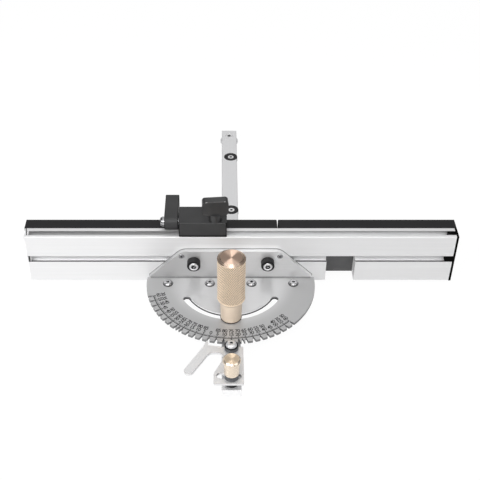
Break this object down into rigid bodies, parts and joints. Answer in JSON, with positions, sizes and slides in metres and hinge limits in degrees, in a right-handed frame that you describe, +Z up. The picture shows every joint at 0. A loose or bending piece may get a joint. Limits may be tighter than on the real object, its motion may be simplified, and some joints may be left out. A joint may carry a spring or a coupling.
{
  "type": "miter gauge",
  "caption": "Table saw miter gauge: a runner bar carries a swinging protractor head with a slotted fence, flip stop, clamp handle and index lever.",
  "frame": {"origin": "the head's pivot axis at the underside of the runner bar", "axes": "+Y along the runner bar, away from the user; +X to the user's right along the fence; +Z up"},
  "size_m": [0.4532, 0.45, 0.1133],
  "materials": {
    "bar_steel": "fine ground",
    "bright_steel": "bright",
    "plate_steel": "brushed, with an engraved dark scale",
    "silver_aluminium": "satin anodised",
    "black_aluminium": "matte black anodised",
    "black_plastic": "matte",
    "pale_plastic": "matte",
    "black_nylon": "satin",
    "black_board": "matte",
    "pale_brass": "satin, the clamp handle's grip knurled"
  },
  "bodies": {
    "runner": {"runner_bar": "bar_steel", "guide_washer": "bar_steel", "guide_screw": "bright_steel", "expansion_discs": "black_nylon", "expansion_screws": "bright_steel", "pivot_screw": "bright_steel", "pivot_washer": "black_nylon", "slide_pad": "black_nylon", "clamp_stud": "bright_steel", "handle_washer": "black_nylon", "index_spacers": "black_nylon", "index_collars": "black_nylon", "index_screw": "bright_steel", "lock_stud": "bright_steel"},
    "head": {"protractor_plate": "plate_steel", "bracket": "silver_aluminium", "plate_screws": "bright_steel", "bolt_sleeves": "black_nylon", "fence_bolts": "bright_steel", "fence_nuts": "bright_steel", "squaring_screws": "bright_steel"},
    "fence": {"fence_extrusion": "silver_aluminium", "left_end_cap": "pale_plastic", "right_end_cap": "black_plastic", "left_board": "black_board", "right_board": "black_board", "board_screws": "bright_steel", "board_nuts": "bright_steel"},
    "stop": {"stop_block": "black_aluminium", "stop_bolt": "bright_steel", "stop_pivot_screw": "bright_steel"},
    "stop_arm": {"stop_arm": "black_aluminium"},
    "stop_knob": {"stop_knob": "black_plastic"},
    "handle": {"clamp_handle": "pale_brass"},
    "lock_knob": {"lock_knob": "pale_brass"},
    "index_lever": {"index_lever": "plate_steel"}
  },
  "joints": [
    {"name": "head_swing", "type": "hinge", "parent": "runner", "child": "head", "pos_m": [0, 0, 0], "axis": [0, 0, 1], "range_deg": [-60, 60]},
    {"name": "fence_shift", "type": "slide", "parent": "head", "child": "fence", "axis": [1, 0, 0], "range_m": [-0.05, 0.12]},
    {"name": "stop_slide", "type": "slide", "parent": "fence", "child": "stop", "axis": [1, 0, 0], "range_m": [-0.14, 0.23]},
    {"name": "stop_flip", "type": "hinge", "parent": "stop", "child": "stop_arm", "pos_m": [-0.0619, 0.02735, 0.0786], "axis": [1, 0, 0], "range_deg": [0, 180]},
    {"name": "stop_knob_turn", "type": "hinge", "parent": "stop", "child": "stop_knob", "pos_m": [-0.0161, 0.01925, 0.09], "axis": [0, 0, 1], "range_deg": [-180, 180]},
    {"name": "handle_turn", "type": "hinge", "parent": "runner", "child": "handle", "pos_m": [0, -0.0528, 0.0191], "axis": [0, 0, 1], "range_deg": [-180, 180]},
    {"name": "lock_knob_turn", "type": "hinge", "parent": "runner", "child": "lock_knob", "pos_m": [0, -0.1343, 0.024], "axis": [0, 0, 1], "range_deg": [-180, 180]},
    {"name": "index_lever_swing", "type": "hinge", "parent": "runner", "child": "index_lever", "pos_m": [0, -0.0969, 0.0155], "axis": [0, 0, 1], "range_deg": [-8, 16]}
  ]
}
